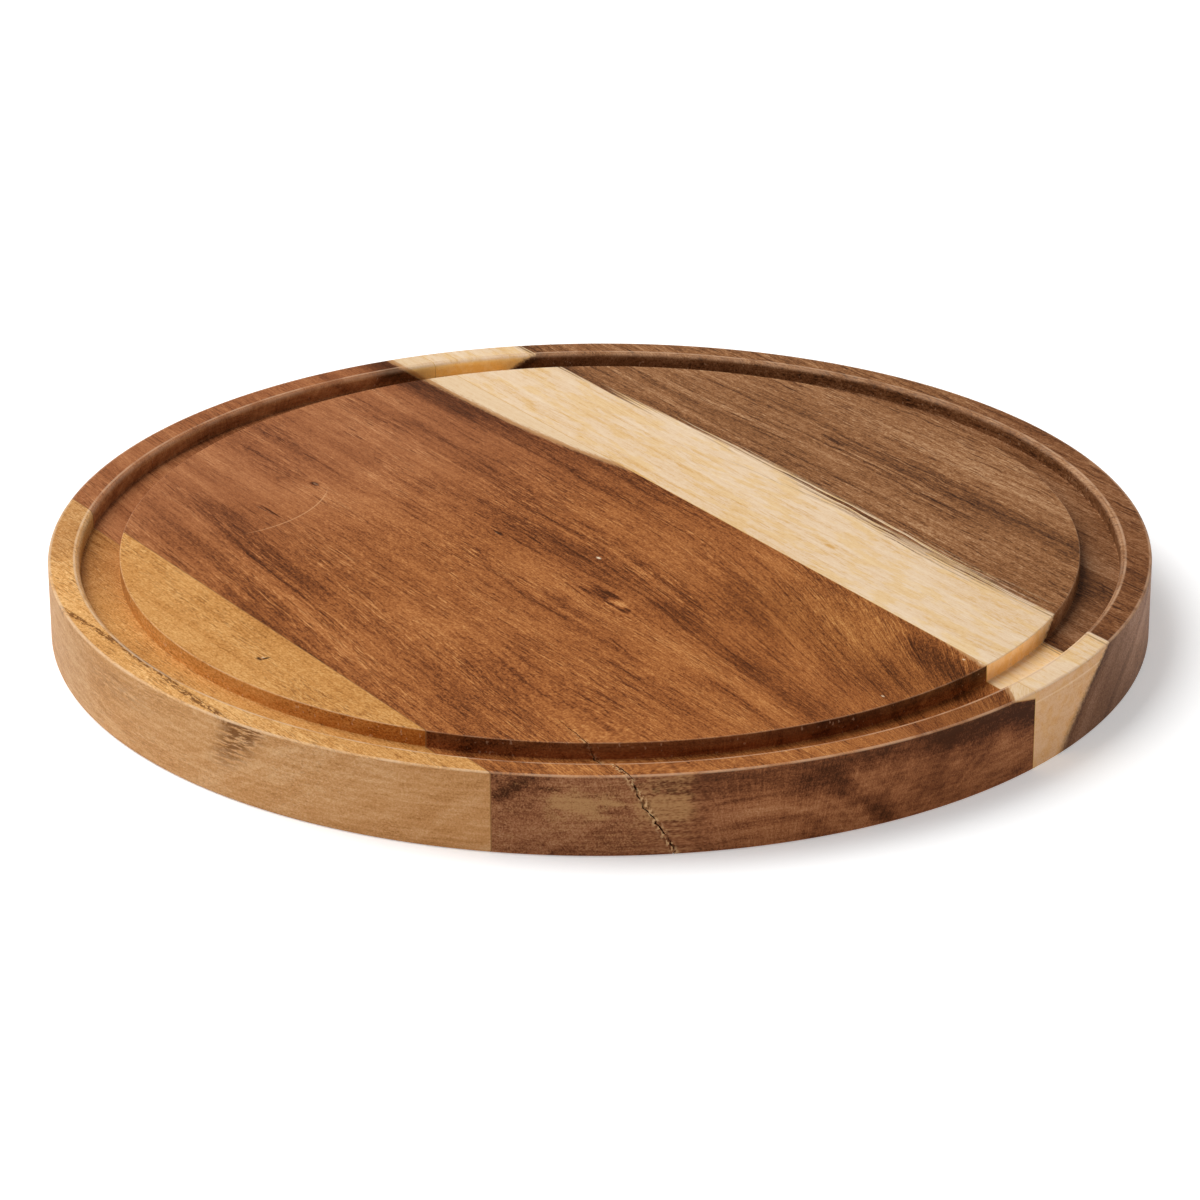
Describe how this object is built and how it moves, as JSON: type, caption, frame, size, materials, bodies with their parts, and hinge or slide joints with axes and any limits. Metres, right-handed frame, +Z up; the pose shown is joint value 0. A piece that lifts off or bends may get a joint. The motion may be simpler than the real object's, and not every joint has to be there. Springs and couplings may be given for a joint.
{
  "type": "round serving board",
  "caption": "Round serving board of edge-glued hardwood staves, with a flat-bottomed ring groove near the rim that seats a cloche.",
  "frame": {"origin": "centre of the underside", "axes": "+Z up through the middle of the board, +X along the grain of the staves, +Y across the staves from the narrow front stave to the rear stave"},
  "size_m": [0.3, 0.3, 0.022],
  "materials": {
    "honey_wood": "satin oil",
    "brown_wood": "satin oil",
    "striped_wood": "satin oil",
    "glue": "cured adhesive"
  },
  "bodies": {
    "root": {"front_stave": "honey_wood", "front_glue_line": "glue", "middle_stave": "brown_wood", "rear_glue_line": "glue", "rear_stave": "striped_wood"}
  },
  "joints": []
}
